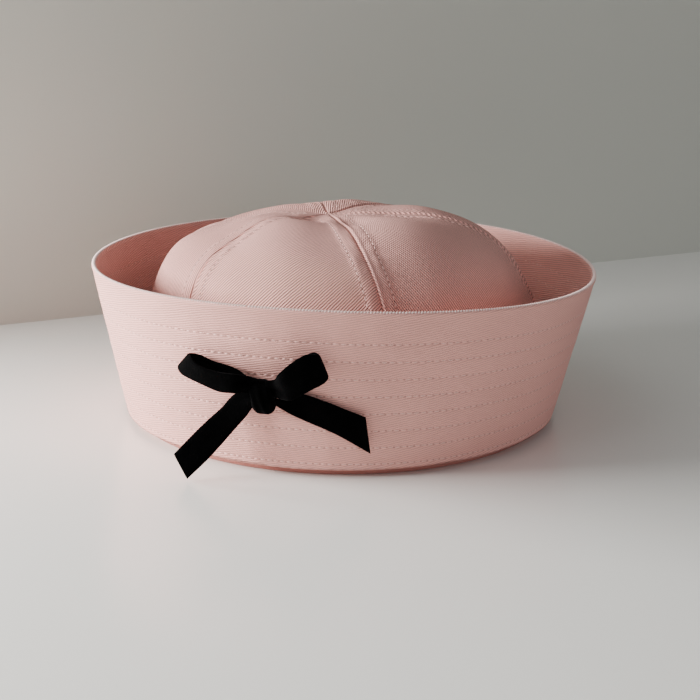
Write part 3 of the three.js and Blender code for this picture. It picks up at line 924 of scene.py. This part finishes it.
def crown_stitch_shapes(pitch):
    """Stitches of the topstitching on both sides of each crown seam: (points, faces) pairs."""
    length = crown_profile(MERIDIAN_POINTS)[5]
    first = length[0]
    at = first + (np.arange(int((length[-1] - first) / pitch)) + 0.5) * pitch
    r, z = crown_at(at)[:2]
    at = at[(r > TOPSTITCH_END) & (z > TOPSTITCH_FOOT)]
    shapes = []
    for number, seam in enumerate(SEAM_AZIMUTHS):
        for side in (-1.0, 1.0):
            ahead = topstitch_point(at + 0.4, seam, side) - topstitch_point(at - 0.4, seam, side)
            wide = topstitch_point(at, seam, side, 0.4) - topstitch_point(at, seam, side, -0.4)
            along, up = axes(ahead, np.cross(ahead, wide) * -side)
            shapes.append(stitch_shape(
                topstitch_point(at, seam, side) + 0.06 * up, along, up, STITCH_LENGTH * pitch,
                CROWN_THREAD, 2 * number + int(side > 0)))
    return shapes


def rim_stitch_shape():
    """Slanted overcast stitches along the top of the rim: points and faces."""
    azimuth = np.arange(0.0, 360.0, 360.0 * RIM_STITCH_PITCH / (2.0 * math.pi * RIM_RADIUS))[:-1]
    rim = rim_height(azimuth)
    places = 0.5 * (brim_point(azimuth, rim) + brim_point(azimuth, rim, -BRIM_WALL))
    places[:, 2] = rim + 0.02
    ahead = brim_point(azimuth + 0.3, rim) - brim_point(azimuth - 0.3, rim)
    along, up = axes(ahead, np.zeros_like(ahead) + (0.0, 0.0, 1.0))
    slant = math.radians(RIM_STITCH_SLANT)
    slanted = along * math.cos(slant) + np.cross(up, along) * math.sin(slant)
    return stitch_shape(places, slanted, up, RIM_STITCH_LENGTH, RIM_THREAD)


class SAILORCAP_OT_stitching(bpy.types.Operator):
    """Lay the thread of the brim's stitch rows and of the topstitching beside the crown seams."""

    bl_idname = "sailorcap.stitching"
    bl_label = "Stitching"

    def execute(self, context):
        settings = context.scene.sailor_cap
        thread = thread_material("sewing_thread", settings.thread_colour)
        # The rim's thread is paler: partly its own colour, partly a painted highlight along the rim's top
        # edge.
        rim_highlight_thread = thread_material("rim_highlight_thread", settings.rim_highlight_thread_colour)
        brim_stitches = joined(brim_stitch_shapes(settings.stitch_pitch))
        make_piece("brim_stitching", *brim_stitches, None, thread, "pink_twill")
        crown_stitches = joined(crown_stitch_shapes(settings.stitch_pitch))
        make_piece("crown_stitching", *crown_stitches, None, thread, "pink_twill")
        make_piece("rim_stitching", *rim_stitch_shape(), None, rim_highlight_thread, "pink_twill")
        return {"FINISHED"}


def tucked(row, rise):
    """Row of a ribbon moved into the knot, its upper edge raised."""
    return np.array(row) * (0.25, 0.6, 1.0, 0.25, 0.6, 1.0) + (0.0, 0.0, 0.0, 0.0, rise, 0.0)


def ribbon_mesh(rows, count, gather, is_loop):
    """Closed ribbon between two edge curves: rounded edges, and shallow folds that fade from the knot."""
    rows = [tucked(rows[0], 0.05)] + list(rows) + ([tucked(rows[-1], 0.0)] if is_loop else [])
    rows = np.array(rows) * BOW_REACH
    low = through(bow_point(rows[:, 0], rows[:, 1], rows[:, 2]), count)
    high = through(bow_point(rows[:, 3], rows[:, 4], rows[:, 5]), count)
    along = np.gradient(low + high, axis=0)
    along /= np.linalg.norm(along, axis=1, keepdims=True)
    wide = high - low
    normal = np.cross(along, wide)
    normal /= np.linalg.norm(normal, axis=1, keepdims=True)
    u = 0.5 - 0.5 * np.cos(np.pi * np.linspace(0.02, 0.98, RIBBON_COLUMNS))
    t = np.linspace(0.0, 1.0, count)[:, None]
    depth, reach, end_share = gather
    fading = depth * (bell(t / reach) + end_share * bell((1.0 - t) / 0.12))
    fold = fading * np.sin(2.0 * np.pi * (1.5 * u[None, :] + 0.15)) * np.sin(np.pi * u[None, :])
    body = low[:, None, :] + u[None, :, None] * wide[:, None, :] + fold[..., None] * normal[:, None, :]
    half = 0.5 * RIBBON_WALL * np.clip(1.0 - (2.0 * u - 1.0) ** 8, 0.12, 1.0) ** 0.5
    top = body + half[None, :, None] * normal[:, None, :]
    back = body - half[None, :, None] * normal[:, None, :]
    points = np.concatenate([top, back[:, ::-1]], axis=1).reshape(-1, 3)
    return points, outward(points, slab_faces(count, RIBBON_COLUMNS))


def knot_mesh():
    """Closed knot: a rounded block whose front carries soft slanting pleats."""
    rings, sides = 48, 72
    tilt = np.linspace(-0.5 * np.pi, 0.5 * np.pi, rings)[:, None]
    turn = np.linspace(0.0, 2.0 * np.pi, sides, endpoint=False)[None, :]

    def power(value, sharp):
        return np.sign(value) * np.abs(value) ** (2.0 / sharp)

    flat = power(np.cos(tilt), 2.8)
    x = flat * power(np.cos(turn), 2.8)
    y = flat * power(np.sin(turn), 3.0)
    out = power(np.sin(tilt), 2.6) + 0.0 * turn
    pleat = 0.05 * np.sin(2.0 * np.pi * (1.3 * x + 0.35 * y + 0.1)) * smooth(out, -0.2, 0.8)
    pinch = 1.0 - 0.10 * bell(y / 0.35)
    points = bow_point(
        KNOT_SHIFT + KNOT_HALF_WIDTH * x * pinch - 0.6 * y,
        KNOT_HALF_HEIGHT * y - KNOT_DROP,
        0.3 + 0.5 * KNOT_THICKNESS * (1.0 + out + pleat - 0.12 * y * y * smooth(out, 0.0, 1.0)),
    ).reshape(-1, 3)
    faces = grid_faces(rings, sides, wrap_columns=True)
    return points, outward(points, faces)


class SAILORCAP_OT_bow(bpy.types.Operator):
    """Build the velvet ribbon bow: two loops, two tails and the knot."""

    bl_idname = "sailorcap.bow"
    bl_label = "Bow"

    def execute(self, context):
        velvet = material_named("velvet_pile", velvet_material)
        for name, rows in RIBBONS.items():
            is_loop = "loop" in name
            count = LOOP_POINTS if is_loop else TAIL_POINTS
            points, faces = ribbon_mesh(rows, count, RIBBON_GATHERS[name], is_loop)
            make_piece(name + "_velvet", points, faces, None, velvet, "black_velvet", (name,))
        points, faces = knot_mesh()
        make_piece("bow_knot_velvet", points, faces, None, velvet, "black_velvet", ("bow_knot",))
        return {"FINISHED"}


def plain_material(name, colour, roughness):
    """Plain material of the stage, clear from its back, so that the cap shows from behind and below."""
    material, tree, shader = new_material(name)
    shader.inputs["Base Color"].default_value = tuple(colour) + (1.0,)
    shader.inputs["Roughness"].default_value = roughness
    face = node(tree, "ShaderNodeNewGeometry")
    clear = node(tree, "ShaderNodeBsdfTransparent")
    mixed = node(
        tree, "ShaderNodeMixShader",
        {0: face.outputs["Backfacing"], 1: shader.outputs["BSDF"], 2: clear.outputs["BSDF"]})
    tree.links.new(mixed.outputs[0], tree.nodes["Material Output"].inputs["Surface"])
    return material


def turned(x, y, z):
    """Metres in the frame from millimetres right of, beyond and above the cap as the camera sees it."""
    angle = math.radians(VIEW_AZIMUTH)
    return (
        (x * math.cos(angle) - y * math.sin(angle) + SHIFT[0]) * 0.001,
        (x * math.sin(angle) + y * math.cos(angle) + SHIFT[1]) * 0.001,
        z * 0.001,
    )


def stand(name, data, place, right, up, ahead):
    """Light or camera at a place in metres, looking ahead, with its right and its up."""
    item = bpy.data.objects.new(name, data)
    bpy.context.scene.collection.objects.link(item)
    item.matrix_world = Matrix([
        (right[k], up[k], -ahead[k], place[k]) for k in range(3)] + [(0.0, 0.0, 0.0, 1.0)])
    return item


def soft_light(name, place, target, wide, tall, power, colour):
    """Rectangular light that looks from a place to a target."""
    light = bpy.data.lights.new(name, "AREA")
    light.shape = "RECTANGLE"
    light.size = wide
    light.size_y = tall
    light.energy = power
    light.color = colour
    start, end = np.array(turned(*place)), np.array(turned(*target))
    ahead = (end - start) / np.linalg.norm(end - start)
    right = np.cross(ahead, (0.0, 0.0, 1.0))
    right /= np.linalg.norm(right)
    return stand(name, light, start, right, np.cross(right, ahead), ahead)


def photo_camera():
    """Camera that sees the cap as the photograph does."""
    lift, turn, angle = (math.radians(value) for value in (VIEW_ELEVATION, VIEW_ROLL, VIEW_AZIMUTH))
    place = turned(VIEW_SIDE, -VIEW_DISTANCE * math.cos(lift), VIEW_DISTANCE * math.sin(lift) + VIEW_RISE)
    right = np.array([math.cos(angle), math.sin(angle), 0.0])
    ahead = np.array([-math.sin(angle) * math.cos(lift), math.cos(angle) * math.cos(lift), -math.sin(lift)])
    up = np.cross(right, ahead)
    data = bpy.data.cameras.new("camera")
    data.lens = LENS
    data.sensor_width = SENSOR
    across = math.cos(turn) * right + math.sin(turn) * up
    above = -math.sin(turn) * right + math.cos(turn) * up
    return stand("camera", data, place, across, above, ahead)


class SAILORCAP_OT_stage(bpy.types.Operator):
    """Set up the pale table, the wall behind it, the soft lights and the camera."""

    bl_idname = "sailorcap.stage"
    bl_label = "Stage"

    def execute(self, context):
        square = np.array([[-1.0, -1.0], [1.0, -1.0], [1.0, 1.0], [-1.0, 1.0]]) * TABLE_HALF
        one_face = np.array([[0, 1, 2, 3]])
        table = make_piece(
            "table", np.column_stack([square, np.full(4, TABLE_DROP)]), one_face, None,
            plain_material("table_white", *TABLE_FINISH))
        wall_corners = [
            turned(*WALL_NEAR, WALL_FOOT), turned(*WALL_FAR, WALL_FOOT),
            turned(*WALL_FAR, WALL_TOP), turned(*WALL_NEAR, WALL_TOP)]
        wall = make_piece(
            "wall", np.array(wall_corners) * 1000.0 - SHIFT, one_face, None,
            plain_material("wall_grey", *WALL_FINISH))
        world = bpy.data.worlds.new("Soft room")
        world.use_nodes = True
        background = world.node_tree.nodes["Background"]
        background.inputs["Color"].default_value = ROOM_COLOUR
        background.inputs["Strength"].default_value = ROOM_STRENGTH
        context.scene.world = world
        for row in LIGHTS:
            soft_light(*row)
        context.scene.camera = photo_camera()
        return {"FINISHED"}


class SAILORCAP_PT_panel(bpy.types.Panel):
    """Sidebar panel with the cap's settings and its building steps."""

    bl_idname = "SAILORCAP_PT_panel"
    bl_label = "Sailor Cap"
    bl_space_type = "VIEW_3D"
    bl_region_type = "UI"
    bl_category = "Sailor Cap"

    def draw(self, context):
        settings = context.scene.sailor_cap
        for name in SETTING_NAMES:
            self.layout.prop(settings, name)
        for operator in STEPS:
            self.layout.operator(operator.bl_idname)


SETTING_NAMES = (
    "cloth_colour", "thread_colour", "rim_highlight_thread_colour", "ribbon_colour", "twill_pitch", "stitch_pitch",
    "brim_columns", "panel_rows",
)
STEPS = (SAILORCAP_OT_brim, SAILORCAP_OT_crown, SAILORCAP_OT_stitching, SAILORCAP_OT_bow, SAILORCAP_OT_stage)
CLASSES = (SailorCapSettings,) + STEPS + (SAILORCAP_PT_panel,)


def register():
    """Register the classes and the scene's settings."""
    for item in CLASSES:
        bpy.utils.register_class(item)
    bpy.types.Scene.sailor_cap = bpy.props.PointerProperty(type=SailorCapSettings)


def unregister():
    """Remove the settings and the classes."""
    del bpy.types.Scene.sailor_cap
    for item in reversed(CLASSES):
        bpy.utils.unregister_class(item)


def main():
    """Register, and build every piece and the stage."""
    register()
    bpy.ops.sailorcap.brim()
    bpy.ops.sailorcap.crown()
    bpy.ops.sailorcap.stitching()
    bpy.ops.sailorcap.bow()
    bpy.ops.sailorcap.stage()


if __name__ == "__main__":
    main()
